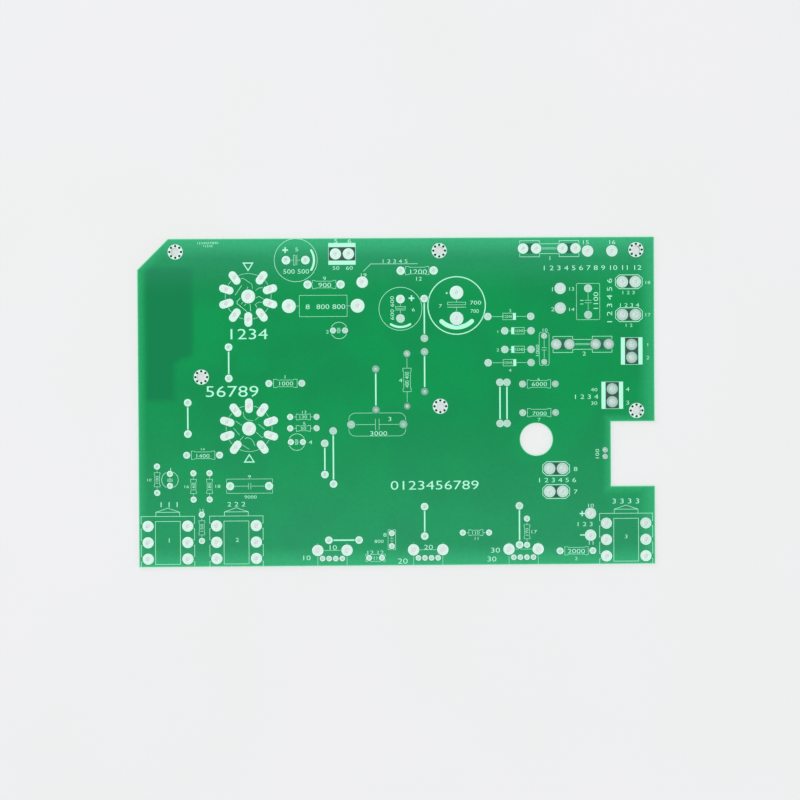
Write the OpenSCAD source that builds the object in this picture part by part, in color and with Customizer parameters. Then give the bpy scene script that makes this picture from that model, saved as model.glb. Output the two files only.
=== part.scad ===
// Bare circuit board for a small valve amplifier: a glass-epoxy sheet with a
// copper layer, plated-through pads, green solder mask on both sides and a
// white printed legend. The origin is at the middle of the underside, with +X
// along the long edge, +Y towards the edge with the cut corner and +Z out of
// the printed side.

/* [Board] */
// Length of the board along X
board_l = 200; // [200:1:260]
// Width of the board along Y
board_w = 127; // [127:1:170]
// Thickness of the glass-epoxy sheet
laminate_t = 1.5; // [0.8:0.1:3.2]
// Legs of the 45 degree cut at the upper left corner
corner_cut = 12; // [4:0.5:14]
// Depth of the transformer notch from the right edge
notch_d = 17; // [8:0.5:17]
// Height of the transformer notch along Y
notch_h = 24.6; // [10:0.2:25]
// Distance from the lower edge to the notch
notch_y = 30.6; // [28:0.2:34]
// Diameter of the round cable hole
cable_hole_d = 12.2; // [6:0.1:13]

/* [Layers] */
// Thickness of the copper
copper_t = 0.07; // [0.035:0.005:0.14]
// Solder mask above the copper
mask_over = 0.03; // [0.02:0.005:0.06]
// Tin on the open copper of a pad
tin_t = 0.02; // [0.005:0.005:0.02]
// Copper wall inside each plated hole
plating_t = 0.05; // [0.03:0.01:0.08]
// Gap between a pad and the solder mask round it
mask_gap = 0.12; // [0.05:0.01:0.15]
// Strip without solder mask along the board's edge
mask_edge = 0.3; // [0.05:0.05:0.5]
// Strip without copper along the board's edge
copper_edge = 3.4; // [1:0.1:5]
// Gap between the copper area and a pad or track of another circuit
copper_gap = 0.8; // [0.3:0.1:1]
// Width of a signal track
signal_w = 1.2; // [0.6:0.1:1.4]
// Width of a supply track
supply_w = 2.4; // [1.5:0.1:2.6]

/* [Mounting holes] */
// Clear diameter of a mounting hole
mount_hole_d = 3.2; // [2.5:0.1:3.4]
// Diameter of the pad round a mounting hole
mount_pad_d = 5.9; // [5.6:0.1:6.5]
// Diameter of the circle of stitching holes
stitch_circle_d = 4.5; // [4.4:0.05:4.7]
// Clear diameter of a stitching hole
stitch_hole_d = 0.55; // [0.3:0.05:0.6]
// Stitching holes round each mounting hole
stitch_count = 8; // [4:1:10]

/* [Valve sockets] */
// Radius of the ring of pin pads
socket_r = 8.85; // [8.5:0.05:9.5]
// Length of a pin pad, along the radius
socket_pad_l = 5.7; // [4.5:0.1:6]
// Width of a pin pad
socket_pad_w = 3.1; // [2.6:0.1:3.4]
// Clear diameter of a pin hole
socket_hole_d = 1.5; // [1:0.1:2]
// Diameter of the centre pad
socket_centre_d = 5.4; // [4:0.1:6]
// Clear diameter of the centre hole
socket_centre_hole_d = 2.2; // [1:0.1:3]

/* [Jacks] */
// Distance between a jack's two rows of pads
jack_row = 15.3; // [14:0.1:16]
// Distance between the pads of a row
jack_pitch = 6.35; // [5.5:0.05:6.35]
// Diameter of a jack pad
jack_pad_d = 4.4; // [3.5:0.1:4.8]
// Clear diameter of a jack hole
jack_hole_d = 1.6; // [1:0.1:2.2]
// Width of a jack's outline
jack_w = 20.6; // [19.5:0.1:21]

/* [Controls] */
// Distance between the two lug pads of a control
lug_pitch = 11.3; // [10.8:0.1:12]
// Diameter of a lug pad
lug_pad_d = 4.5; // [3.5:0.1:4.6]
// Clear diameter of a lug hole
lug_hole_d = 2; // [1:0.1:2.4]
// Distance between the four pin pads of a control
pin_pitch = 2.54; // [2.5:0.01:2.6]
// Diameter of a pin pad
pin_pad_d = 2.25; // [1.8:0.05:2.3]
// Clear diameter of a pin hole
pin_hole_d = 0.9; // [0.6:0.1:1.2]

/* [Wire connections] */
// Distance between the pads of a spade pair
spade_pitch = 5.08; // [4.9:0.02:5.4]
// Diameter of a spade pad
spade_pad_d = 4.6; // [3.4:0.1:4.6]
// Distance between the pads of a terminal block
terminal_pitch = 5; // [4.9:0.02:5.4]
// Diameter of the pads of a terminal block
terminal_pad_d = 4.4; // [3.4:0.1:4.6]
// Clear diameter of the holes of terminal blocks and spade pairs
spade_hole_d = 1.3; // [0.8:0.1:2]
// Diameter of a pad for a single wire
wire_pad_d = 4.5; // [3.4:0.1:4.6]
// Clear diameter of the hole for a single wire
wire_hole_d = 1.4; // [0.8:0.1:2]
// Distance between the pads inside one fuse clip
clip_pitch = 5.08; // [4.6:0.02:5.2]
// Distance between the middles of a fuse's two clips
clip_span = 15.24; // [14.8:0.02:15.6]
// Diameter of a fuse clip pad
clip_pad_d = 4.1; // [3.2:0.1:4.2]
// Clear diameter of a fuse clip hole
clip_hole_d = 1.3; // [0.8:0.1:1.8]
// Diameter of a link wire's pad
link_pad_d = 3; // [2.4:0.1:3.1]
// Clear diameter of a link wire's hole
link_hole_d = 0.9; // [0.6:0.1:1.4]
// Distance between the two wires of the double link
link_pair = 2.7; // [2.4:0.1:2.9]

/* [Resistors] */
// Distance between the pads of a 1 W resistor
resistor_pitch = 12.7; // [12:0.1:13]
// Diameter of its pads
resistor_pad_d = 2.75; // [2:0.05:3]
// Diameter of the larger pads of the two supply resistors
supply_pad_d = 3.3; // [2.5:0.1:3.6]
// Clear diameter of its holes
resistor_hole_d = 1; // [0.7:0.1:1.4]
// Length of its printed body
resistor_l = 9.2; // [7:0.1:9.4]
// Width of its printed body
resistor_w = 3.3; // [2.5:0.1:3.6]
// Distance between the pads of a small resistor
small_pitch = 10.16; // [9.8:0.02:10.4]
// Diameter of a small resistor's pads
small_pad_d = 2.45; // [1.8:0.05:2.5]
// Clear diameter of a small resistor's holes
small_hole_d = 0.8; // [0.6:0.1:1.1]
// Length of a small resistor's printed body
small_l = 5.6; // [4.5:0.1:7]
// Width of a small resistor's printed body
small_w = 2.4; // [1.8:0.1:2.6]
// Distance between the pads of the cement resistor
cement_pitch = 26.5; // [25.5:0.1:27]
// Diameter of the cement resistor's pads
cement_pad_d = 5.4; // [4:0.1:5.6]
// Clear diameter of the cement resistor's holes
cement_hole_d = 1.6; // [1:0.1:2]
// Length of the cement resistor's printed body
cement_l = 18.4; // [16:0.1:19]
// Width of the cement resistor's printed body
cement_w = 8.2; // [6:0.1:8.6]

/* [Capacitors and diodes] */
// Distance between the pads of a round capacitor
can_pitch = 7.5; // [6:0.1:8]
// Diameter of a round capacitor's pads
can_pad_d = 3.4; // [2.5:0.1:3.6]
// Diameter of a round capacitor's printed circle
can_d = 16.6; // [15:0.1:17]
// Distance between the pads of the reservoir capacitor
reservoir_pitch = 10; // [9:0.1:11]
// Diameter of the reservoir capacitor's pads
reservoir_pad_d = 5.3; // [4:0.1:5.6]
// Diameter of the reservoir capacitor's printed circle
reservoir_d = 22.2; // [21:0.1:22.4]
// Clear diameter of a capacitor's holes
can_hole_d = 1.1; // [0.8:0.1:1.6]
// Distance between the pads of a bead capacitor
bead_pitch = 4.65; // [4:0.05:5]
// Diameter of a bead or film capacitor's small pads
bead_pad_d = 2.4; // [1.8:0.05:2.5]
// Diameter of a bead capacitor's printed circle
bead_d = 6.4; // [6:0.1:6.8]
// Diameter of a film capacitor's large pads
film_pad_d = 3.2; // [2.4:0.1:3.5]
// Distance between the close pads of a diode
diode_pitch = 10.16; // [9.8:0.02:10.4]
// Distance between the wide pads of a diode
long_diode_pitch = 16.6; // [16:0.1:17]
// Diameter of a diode's pads
diode_pad_d = 2.95; // [2:0.05:3.2]
// Clear diameter of a diode's holes
diode_hole_d = 1.1; // [0.8:0.1:1.4]
// Length of a diode's printed body
diode_l = 5; // [4:0.1:6]
// Width of a diode's printed body
diode_w = 2.5; // [2:0.1:3]

/* [Legend] */
// Thickness of the legend ink
ink_t = 0.03; // [0.02:0.01:0.06]
// Gap between the ink and a pad's opening in the solder mask
ink_gap = 0.1; // [0.05:0.05:0.2]
// Width of a fine printed line
fine_w = 0.13; // [0.1:0.01:0.3]
// Width of an outline
line_w = 0.17; // [0.13:0.01:0.4]
// Width of a bold line
bold_w = 0.4; // [0.3:0.05:0.7]
// Width of the printed line along a wire link
link_line_w = 0.55; // [0.3:0.05:0.8]

/* [Hidden] */
$fn = 48;

mask_t = copper_t + mask_over;
land_t = copper_t + tin_t;
under_z = mask_t;                  // underside of the laminate
upper_z = mask_t + laminate_t;     // upper face of the laminate
print_z = upper_z + mask_t;        // upper face of the solder mask
mask_green = [0.09, 0.55, 0.32];
tin_grey = [0.86, 0.87, 0.87];
copper_red = [0.72, 0.45, 0.30];
ink_white = [0.93, 0.98, 0.94];

// Positions are measured from the left and lower edges of the board or, where
// they are negative, from its right and upper edges, so that each part keeps
// its distance from the nearer edges when the board grows.
function at(x, y) = [x + (x < 0 ? board_l : -board_l) / 2,
    y + (y < 0 ? board_w : -board_w) / 2];

cable_hole = at(-46.1, 48.7);
mounts = [at(14.9, -5.2), at(-83.3, -5.2), at(-7.2, -5.2),
    at(24.6, -53.5), at(-83.2, 61.7), at(-7.2, 59.6)];
sockets = [[at(42.9, -22.5), 0], [at(42.9, 53.5), 180]];
jacks = [at(11.3, 9.65), at(37.75, 9.65), at(-11.45, 9.65)];
controls = [at(74.75, 6.2), at(-88.2, 6.2), at(-51.25, 6.2)];
terminals = [[at(79.15, -6.25), 0], [at(-9, -44.35), 90],
    [at(-16.6, -61.45), 90]];
spades = [at(-10, -17.6), at(-10, -30.3), at(-38.5, 37.3), at(-38.5, 28.4)];
wires = [at(86.9, -17.2), at(-25.9, -5.6), at(-16.5, -5.6),
    at(-36.6, -20), at(-36.6, -27.6), at(-25.25, 19.9), at(-25.25, 11.4)];
fuses = [at(-40.73, -4.55), at(-28.05, -41.6)];
// each link: middle, angle, length
links = [[at(35.2, -48.05), 90, 12.05], [at(19.3, 57.6), 90, 12.05],
    [at(72.05, 41.6), 90, 12.05], [at(75.35, 42.15), 90, 20.5],
    [at(91.9, -58.65), 90, 15.75], [at(-89.2, -31.35), 90, 15.3],
    [at(-89.2, -51.9), 90, 15.4], [at(-89.5, 17.2), 90, 11.4],
    [at(-52.8, 15.4), 90, 15.1], [at(79.25, 10.15), 0, 11.65]];
double_link = [at(-58.75, 62.85), 90, 15.9];
headers = [at(-19.45, 43.15)];
// each resistor: middle, angle, pad distance, pad diameter
resistors = [[at(-91.85, -12.85), 0, resistor_pitch, supply_pad_d],
    [at(72.2, -18.05), 0, resistor_pitch, supply_pad_d],
    [at(57, -56.1), 0, resistor_pitch, resistor_pad_d],
    [at(-45, -56.9), 0, resistor_pitch, resistor_pad_d],
    [at(-44.95, 59), 0, resistor_pitch, resistor_pad_d],
    [at(-30.75, 5.4), 0, resistor_pitch, resistor_pad_d],
    [at(25.1, 43.35), 0, resistor_pitch, resistor_pad_d],
    [at(104, -55.05), 90, resistor_pitch + 7.6, resistor_pad_d]];
small_resistors = [[at(63.85, 57.9), 0], [at(63.85, 53.5), 0],
    [at(-69.7, 12.7), 0], [at(7.3, 34), 90], [at(21.3, 31.3), 90],
    [at(27.5, 31.3), 90], [at(24.4, 15.3), 90], [at(-49.9, 12.9), 90]];
cement = at(71.8, -26.3);
// the angle turns the plus pad, which is on the left at 0
cans = [[at(61.3, -8.6), 0], [at(101.6, -27.55), -90]];
reservoir = [at(-76.7, -26.4), -90];
beads = [[at(77.85, -35.8), 0], [at(61.3, 48.2), 0], [at(12.25, 33.9), 90]];
// each film capacitor: middle, angle, pad distance, pad diameter, body length,
// body width, corner radius, plate height
films = [[at(42.95, 31.3), 0, 15, film_pad_d, 17.7, 5.5, 0.1, 2.5],
    [at(92.4, 54.8), 0, 20.2, film_pad_d, 22, 8.9, 2.5, 4.4],
    [at(-25.8, -25.15), 90, 10.2, film_pad_d, 14, 9, 0.5, 2.6],
    [at(-42.9, -43.35), 90, 10.05, bead_pad_d, 12.8, 3.8, 0.9, 2],
    [at(97.75, 10.2), 90, 5, bead_pad_d, 7.7, 2.9, 0.1, 1.4],
    [at(91.4, 3.2), 0, 5, bead_pad_d, 7.6, 2.7, 0.1, 1.4]];
// each diode: middle, pad distance, side of the cathode
diodes = [[at(-56.35, -30.75), long_diode_pitch, 1],
    [at(-53.05, -36.3), diode_pitch, -1], [at(-53.05, -43.5), diode_pitch, -1],
    [at(-56.3, -48.6), long_diode_pitch, 1]];

// ---- pads: each one is [x, y, pad diameter, clear hole diameter] ----
function pair(c, a, pitch, d, h) = [for (s = [-1, 1])
    [c[0] + s * pitch / 2 * cos(a), c[1] + s * pitch / 2 * sin(a), d, h]];
function all_in(lists) = [for (l = lists) for (p = l) p];

function jack_pads(c) = [for (s = [-1, 1]) for (k = [-1, 0, 1])
    [c[0] + s * jack_row / 2, c[1] + k * jack_pitch, jack_pad_d, jack_hole_d]];
function control_pads(c) = concat(
    pair(c, 0, lug_pitch, lug_pad_d, lug_hole_d),
    [for (k = [-1.5, -0.5, 0.5, 1.5]) [c[0] + k * pin_pitch,
        c[1] - control_drop, pin_pad_d, pin_hole_d]]);
function fuse_pads(c) = all_in([for (s = [-1, 1])
    pair([c[0] + s * clip_span / 2, c[1]], 0, clip_pitch, clip_pad_d,
        clip_hole_d)]);
control_drop = 3.15;

p_terminals = all_in([for (t = terminals)
    pair(t[0], t[1], terminal_pitch, terminal_pad_d, spade_hole_d)]);
p_spades = all_in([for (c = spades)
    pair(c, 0, spade_pitch, spade_pad_d, spade_hole_d)]);
p_wires = [for (c = wires) [c[0], c[1], wire_pad_d, wire_hole_d]];
p_fuses = all_in([for (c = fuses) fuse_pads(c)]);
p_links = all_in([for (l = links)
    pair(l[0], l[1], l[2], link_pad_d, link_hole_d)]);
p_double = all_in([for (s = [-1, 1])
    pair(double_link[0] + [s * link_pair / 2, 0], double_link[1],
        double_link[2], link_pad_d, link_hole_d)]);
p_headers = all_in([for (c = headers)
    pair(c, 90, pin_pitch, pin_pad_d, pin_hole_d)]);
p_resistors = all_in([for (r = resistors)
    pair(r[0], r[1], r[2], r[3], resistor_hole_d)]);
p_small = all_in([for (r = small_resistors)
    pair(r[0], r[1], small_pitch, small_pad_d, small_hole_d)]);
p_cement = pair(cement, 0, cement_pitch, cement_pad_d, cement_hole_d);
p_cans = concat(
    all_in([for (c = cans) pair(c[0], c[1], can_pitch, can_pad_d, can_hole_d)]),
    pair(reservoir[0], reservoir[1], reservoir_pitch, reservoir_pad_d,
        can_hole_d + 0.3));
p_beads = all_in([for (b = beads)
    pair(b[0], b[1], bead_pitch, bead_pad_d, small_hole_d)]);
p_films = all_in([for (f = films) pair(f[0], f[1], f[2], f[3], small_hole_d)]);
p_diodes = all_in([for (d = diodes)
    pair(d[0], 0, d[1], diode_pad_d, diode_hole_d)]);
p_centres = [for (s = sockets)
    [s[0][0], s[0][1], socket_centre_d, socket_centre_hole_d]];
p_jacks = all_in([for (c = jacks) jack_pads(c)]);
p_controls = all_in([for (c = controls) control_pads(c)]);
p_mounts = [for (m = mounts) [m[0], m[1], mount_pad_d, mount_hole_d]];
p_stitches = all_in([for (m = mounts) stitches(m)]);
function stitches(m) = [for (k = [0 : stitch_count - 1])
    let (a = k * 360 / stitch_count)
    [m[0] + stitch_circle_d / 2 * cos(a), m[1] + stitch_circle_d / 2 * sin(a),
        0, stitch_hole_d]];

// round pads that the copper area keeps clear of, and those it joins
p_apart = concat(p_terminals, p_spades, [for (k = [1 : len(p_wires) - 1]) p_wires[k]],
    p_fuses, p_links, p_double, p_headers, p_resistors, p_small, p_cement,
    p_cans, p_beads, p_films, p_diodes, p_centres, p_jacks, p_controls);
p_joined = concat([p_wires[0]], p_mounts);
p_round = concat(p_apart, p_joined);
p_plated = concat(p_apart, [p_wires[0]]);

// ---- outlines ----
// The board's edge, moved inwards by e
function edge_points(e) = let (x = board_l / 2 - e, y = board_w / 2 - e,
        n0 = notch_y - board_w / 2 - e, n1 = n0 + notch_h + 2 * e,
        c = corner_cut - e * (2 - sqrt(2)))
    [[-x, -y], [x, -y], [x, n0], [x - notch_d, n0], [x - notch_d, n1], [x, n1],
        [x, y], [c - x, y], [-x, y - c]];
function arc(r, a0, a1, n, c = [0, 0]) = [for (k = [0 : n])
    let (a = a0 + (a1 - a0) * k / n) c + r * [cos(a), sin(a)]];
function oval_points(l, w) = concat(
    arc(w / 2, -90, 90, 10, [(l - w) / 2, 0]),
    arc(w / 2, 90, 270, 10, [(w - l) / 2, 0]));
function rounded_points(l, w, r) = concat(
    arc(r, 0, 90, 5, [l / 2 - r, w / 2 - r]),
    arc(r, 90, 180, 5, [r - l / 2, w / 2 - r]),
    arc(r, 180, 270, 5, [r - l / 2, r - w / 2]),
    arc(r, 270, 360, 5, [l / 2 - r, r - w / 2]));
// A curved band with round ends, middle at angle 0
function band_points(r, w, half_angle) = concat(
    arc(r + w / 2, -half_angle, half_angle, 20),
    arc(w / 2, half_angle + 20, half_angle + 160, 6,
        r * [cos(half_angle), sin(half_angle)]),
    arc(r - w / 2, half_angle, -half_angle, 20),
    arc(w / 2, 200 - half_angle, 340 - half_angle, 6,
        r * [cos(half_angle), -sin(half_angle)]));
// A resistor's body: full width at both ends, slimmer between them
function bone_points(l, w, e) = let (x = l / 2 - e, y = w / 2 - e,
        n = w / 2 - w * 0.09 - e, a = l / 2 - w * 0.36 + e * 0.4,
        b = a - w * 0.12)
    [[x, y], [a, y], [b, n], [-b, n], [-a, y], [-x, y],
        [-x, -y], [-a, -y], [-b, -n], [b, -n], [a, -y], [x, -y]];

module board_shape(e) {
    difference() {
        polygon(edge_points(e));
        translate(cable_hole) circle(d = cable_hole_d + 2 * e);
    }
}

module discs(pads, grow) {
    for (p = pads) translate([p[0], p[1]]) circle(d = p[2] + 2 * grow);
}

module drills(pads, grow) {
    for (p = pads) translate([p[0], p[1]]) circle(d = p[3] + 2 * grow);
}

function socket_angles() = [for (k = [1 : 9]) 90 + 36 * k];

// The nine pin pads of a socket, with its gap at the top
module socket_ovals(s, grow) {
    translate(s[0]) rotate(s[1]) for (a = socket_angles())
        rotate(a) translate([socket_r, 0])
            polygon(oval_points(socket_pad_l + 2 * grow,
                socket_pad_w + 2 * grow));
}

function socket_holes(s) = [for (a = socket_angles())
    [s[0][0] + socket_r * cos(a + s[1]), s[0][1] + socket_r * sin(a + s[1]), 0,
        socket_hole_d]];
p_sockets = all_in([for (s = sockets) socket_holes(s)]);

// The openings in the solder mask, grown by the given amount
module openings(grow) {
    discs(p_round, mask_gap + grow);
    for (s = sockets) socket_ovals(s, mask_gap + grow);
}

// ---- copper ----
// Copper under the upper mask beside the left edge
module area_shape() {
    x = copper_edge - board_l / 2;
    polygon([[x, at(0, -11.5)[1]], [at(21.3, 0)[0], at(0, -11.5)[1]],
        [at(21.3, 0)[0], at(0, -45)[1]], [at(14, 0)[0], at(0, -48)[1]],
        [at(14, 0)[0], at(0, -63)[1]], [x, at(0, -63)[1]]]);
}

// Parts of the underside that are left free of copper: lower left and upper
// right corners. The last four would be islands that no pad joins.
free_areas = [[22.5, -40.5, 32, -28], [38, -52, 50, -46], [78, -43.2, 96, -38],
    [-88.5, -50, -67.5, -38.5], [93, -24, 97.5, -11], [64.5, 33, 69.5, 43],
    [50, 52.4, 53.2, 54.8], [77.2, -5.2, 81.1, -3], [-54.5, 3, -48, 7.6],
    [-41.7, 39, -37.8, 43.8]];

// Tracks on the underside. Each one is [width, points].
tracks = [
    // upper left
    [supply_w, [[65.05, -8.6], [65.85, -9.4], [65.85, -18.05]]],
    [supply_w, [[57.55, -8.6], [57.55, -23], [58.55, -24], [58.55, -26.3]]],
    [supply_w, [[51.3, -19.75], [57.55, -19.75]]],
    [supply_w, [[76.65, -6.25], [76.65, -14], [78.55, -15.9], [78.55, -18.05]]],
    [supply_w, [[85.05, -26.3], [85.05, -30.9], [80.15, -35.8]]],
    [supply_w, [[101.6, -31.3], [96.6, -26.3], [85.05, -26.3]]],
    [signal_w, [[48.1, -29.65], [54.25, -35.8], [75.55, -35.8]]],
    [signal_w, [[42.9, -31.35], [42.9, -34.3], [35.2, -42]]],
    [signal_w, [[63.35, -56.1], [74.55, -44.9], [104, -44.9]]],
    // upper right
    [supply_w, [[-76.7, -21.4], [-79, -23.7], [-89.2, -23.7]]],
    [supply_w, [[-76.7, -31.4], [-65.5, -31.4], [-64.85, -30.75]]],
    [supply_w, [[-89.2, -39], [-81.6, -31.4], [-76.7, -31.4]]],
    [signal_w, [[-85.5, -12.85], [-76.95, -21.4]]],
    [supply_w, [[-89.2, -44.2], [-89.2, -39]]],
    [supply_w, [[-64.8, -30.75], [-64.8, -48.6]]],
    [supply_w, [[-58.13, -36.3], [-58.13, -43.5]]],
    [supply_w, [[-48, -30.75], [-48, -36.3]]],
    [supply_w, [[-48, -43.5], [-48, -48.6]]],
    [signal_w, [[-48, -36.3], [-44.9, -36.3], [-42.9, -38.3]]],
    [signal_w, [[-48, -48.4], [-42.9, -48.4]]],
    [signal_w, [[-42.9, -38.3], [-42.9, -39.9], [-41.2, -41.6], [-33.1, -41.6]]],
    [signal_w, [[-42.9, -48.4], [-41.4, -46.9], [-9, -46.9]]],
    [supply_w, [[-23, -41.6], [-17.9, -41.6], [-9, -41.8]]],
    [supply_w, [[-50.9, -4.55], [-45.8, -4.55], [-45.8, -14.8],
        [-40.6, -20], [-22.4, -20], [-20, -17.6], [-7.5, -17.6]]],
    [supply_w, [[-35.7, -4.55], [-30.6, -4.55], [-25.9, -5.6]]],
    [supply_w, [[-36.6, -27.6], [-32.4, -27.6], [-29.7, -30.3], [-7.5, -30.3]]],
    [supply_w, [[-38.65, -56.9], [-18.7, -56.9], [-16.6, -59]]],
    // lower left
    [signal_w, [[51.3, 56.25], [57.1, 56.25], [58.75, 57.9]]],
    [signal_w, [[51.3, 50.75], [54.05, 53.5], [58.75, 53.5]]],
    [signal_w, [[58.75, 53.5], [59, 48.2]]],
    [signal_w, [[68.9, 53.5], [63.6, 48.2]]],
    [signal_w, [[68.9, 57.9], [74.4, 52.4]]],
    [signal_w, [[48.1, 46.35], [50.45, 44], [50.45, 31.3]]],
    [signal_w, [[37.7, 46.35], [34.7, 43.35], [31.45, 43.35]]],
    [signal_w, [[34.5, 50.75], [20.1, 50.75], [19.3, 51.55]]],
    [signal_w, [[18.75, 43.35], [12.25, 36.85], [12.25, 36.2]]],
    [signal_w, [[12.25, 36.2], [9.4, 39.05], [7.3, 39.05]]],
    [signal_w, [[12.25, 31.6], [9.6, 28.95], [7.3, 28.95]]],
    [signal_w, [[21.3, 26.2], [24.4, 23.1], [24.4, 20.4]]],
    [signal_w, [[27.5, 26.2], [24.4, 23.1]]],
    [signal_w, [[27.5, 36.35], [32.55, 31.3], [35.45, 31.3]]],
    [signal_w, [[21.3, 36.35], [18.75, 38.9], [18.75, 43.35]]],
    [signal_w, [[18.95, 9.65], [23.85, 9.65], [24.4, 10.2]]],
    [signal_w, [[30.1, 9.65], [24.95, 9.65], [24.4, 10.2]]],
    [signal_w, [[50.45, 31.3], [50.45, 24], [64.3, 10.15], [73.4, 10.15]]],
    [signal_w, [[72.05, 35.6], [67.75, 31.3], [50.45, 31.3]]],
    [signal_w, [[75.35, 31.9], [94.5, 12.75], [97.75, 12.75]]],
    [signal_w, [[82.3, 54.8], [75.1, 47.6], [72.05, 47.6]]],
    [signal_w, [[85.05, 10.15], [87.5, 7.7], [97.75, 7.7]]],
    // lower right
    [supply_w, [[-57.4, 54.9], [-55.4, 54.9], [-51.3, 59]]],
    [supply_w, [[-38.6, 59], [-36, 56.4], [-36, 37.3]]],
    [supply_w, [[-41, 37.3], [-41, 28.4]]],
    [supply_w, [[-36, 28.4], [-27.5, 19.9], [-23.05, 19.9], [-19.1, 15.95]]],
    [supply_w, [[-25.25, 11.4], [-24.4, 10.55], [-24.4, 5.4]]],
    [supply_w, [[-25.25, 11.4], [-20.85, 11.4], [-19.1, 9.65]]],
    [signal_w, [[-49.9, 18], [-59.3, 18], [-64.6, 12.7]]],
    [signal_w, [[-74.8, 12.7], [-88.3, 12.7], [-89.5, 11.5]]],
    [signal_w, [[-89.5, 22.9], [-52.8, 22.9]]],
    [signal_w, [[-19.45, 44.4], [-19.45, 56], [-15.85, 59.6], [-7.2, 59.6]]]];

// A straight stroke of width w from a to b, square at both ends
module stroke(a, b, w) {
    d = b - a;
    translate(a) rotate(atan2(d[1], d[0]))
        translate([-w / 2, -w / 2]) square([norm(d) + w, w]);
}

module strokes(points, w) {
    for (k = [0 : len(points) - 2]) stroke(points[k], points[k + 1], w);
}

// A track ends square at its first and last points, inside the pads there
module track(points, w) {
    last = len(points) - 2;
    for (k = [0 : last]) {
        d = points[k + 1] - points[k];
        a = k == 0 ? 0 : w / 2;
        b = k == last ? 0 : w / 2;
        translate(points[k]) rotate(atan2(d[1], d[0]))
            translate([-a, -w / 2]) square([norm(d) + a + b, w]);
    }
}

module track_shapes(grow) {
    for (t = tracks)
        track([for (p = t[1]) at(p[0], p[1])], t[0] + 2 * grow);
}

module tracks_shape() {
    difference() {
        track_shapes(0);
        discs(p_round, 0);
        for (s = sockets) socket_ovals(s, 0);
    }
}

module pour_shape() {
    difference() {
        board_shape(copper_edge);
        for (f = free_areas) translate(at(f[0], f[1]))
            square(at(f[2], f[3]) - at(f[0], f[1]));
        discs(p_apart, copper_gap);
        discs(p_joined, 0);
        for (s = sockets) socket_ovals(s, copper_gap);
        track_shapes(copper_gap);
    }
}

// ---- sheets ----
module laminate() {
    color([0.78, 0.82, 0.62]) translate([0, 0, under_z])
        linear_extrude(laminate_t) difference() {
            board_shape(0);
            drills(p_plated, plating_t);
            drills(p_mounts, 0);
            drills(p_sockets, plating_t);
            drills(p_stitches, plating_t);
        }
}

module solder_mask_top() {
    color(mask_green) translate([0, 0, upper_z]) difference() {
        linear_extrude(mask_t) difference() {
            board_shape(mask_edge);
            openings(0);
        }
        translate([0, 0, -1]) linear_extrude(1 + copper_t) area_shape();
    }
}

module solder_mask_bottom() {
    color(mask_green) union() {
        linear_extrude(mask_over) difference() {
            board_shape(mask_edge);
            openings(0);
        }
        translate([0, 0, mask_over]) linear_extrude(copper_t) difference() {
            board_shape(mask_edge);
            openings(0);
            pour_shape();
            track_shapes(0);
        }
    }
}

module copper_area_top() {
    color(copper_red) translate([0, 0, upper_z])
        linear_extrude(copper_t) area_shape();
}

module copper_pour_bottom() {
    color(copper_red) translate([0, 0, mask_over])
        linear_extrude(copper_t) pour_shape();
}

module copper_tracks_bottom() {
    color(copper_red) translate([0, 0, mask_over])
        linear_extrude(copper_t) tracks_shape();
}

// ---- pads ----
// A plated-through pad: a land on each face and the copper wall between them
module pad(p) {
    land = p[2] / 2;
    clear = p[3] / 2;
    wall = clear + plating_t;
    translate([p[0], p[1], 0]) rotate_extrude() polygon([
        [clear, under_z - land_t], [land, under_z - land_t], [land, under_z],
        [wall, under_z], [wall, upper_z], [land, upper_z],
        [land, upper_z + land_t], [clear, upper_z + land_t]]);
}

module pads(list) {
    color(tin_grey) for (p = list) pad(p);
}

// The mounting hole itself is bare; the ring of plated holes joins its lands
module mounting_pad(m) {
    translate([m[0], m[1], 0]) difference() {
        union() {
            for (z = [under_z - land_t, upper_z]) translate([0, 0, z])
                cylinder(d = mount_pad_d, h = land_t);
            for (s = stitches([0, 0]))
                translate([s[0], s[1], under_z - land_t / 2])
                    cylinder(d = stitch_hole_d + 2 * plating_t,
                        h = laminate_t + land_t);
        }
        translate([0, 0, -1]) {
            cylinder(d = mount_hole_d, h = print_z + 2);
            for (s = stitches([0, 0])) translate([s[0], s[1], 0])
                cylinder(d = stitch_hole_d, h = print_z + 2);
        }
    }
}

module mounting_pads() {
    color(tin_grey) for (m = mounts) mounting_pad(m);
}

module socket_pad() {
    difference() {
        union() {
            for (z = [under_z - land_t, upper_z]) translate([0, 0, z])
                linear_extrude(land_t)
                    polygon(oval_points(socket_pad_l, socket_pad_w));
            translate([0, 0, under_z - land_t / 2])
                cylinder(d = socket_hole_d + 2 * plating_t,
                    h = laminate_t + land_t);
        }
        translate([0, 0, -1]) cylinder(d = socket_hole_d, h = print_z + 2);
    }
}

module socket_pads(k) {
    color(tin_grey) {
        translate(sockets[k][0]) rotate(sockets[k][1])
            for (a = socket_angles())
                rotate(a) translate([socket_r, 0, 0]) socket_pad();
        pad(p_centres[k]);
    }
}

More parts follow.
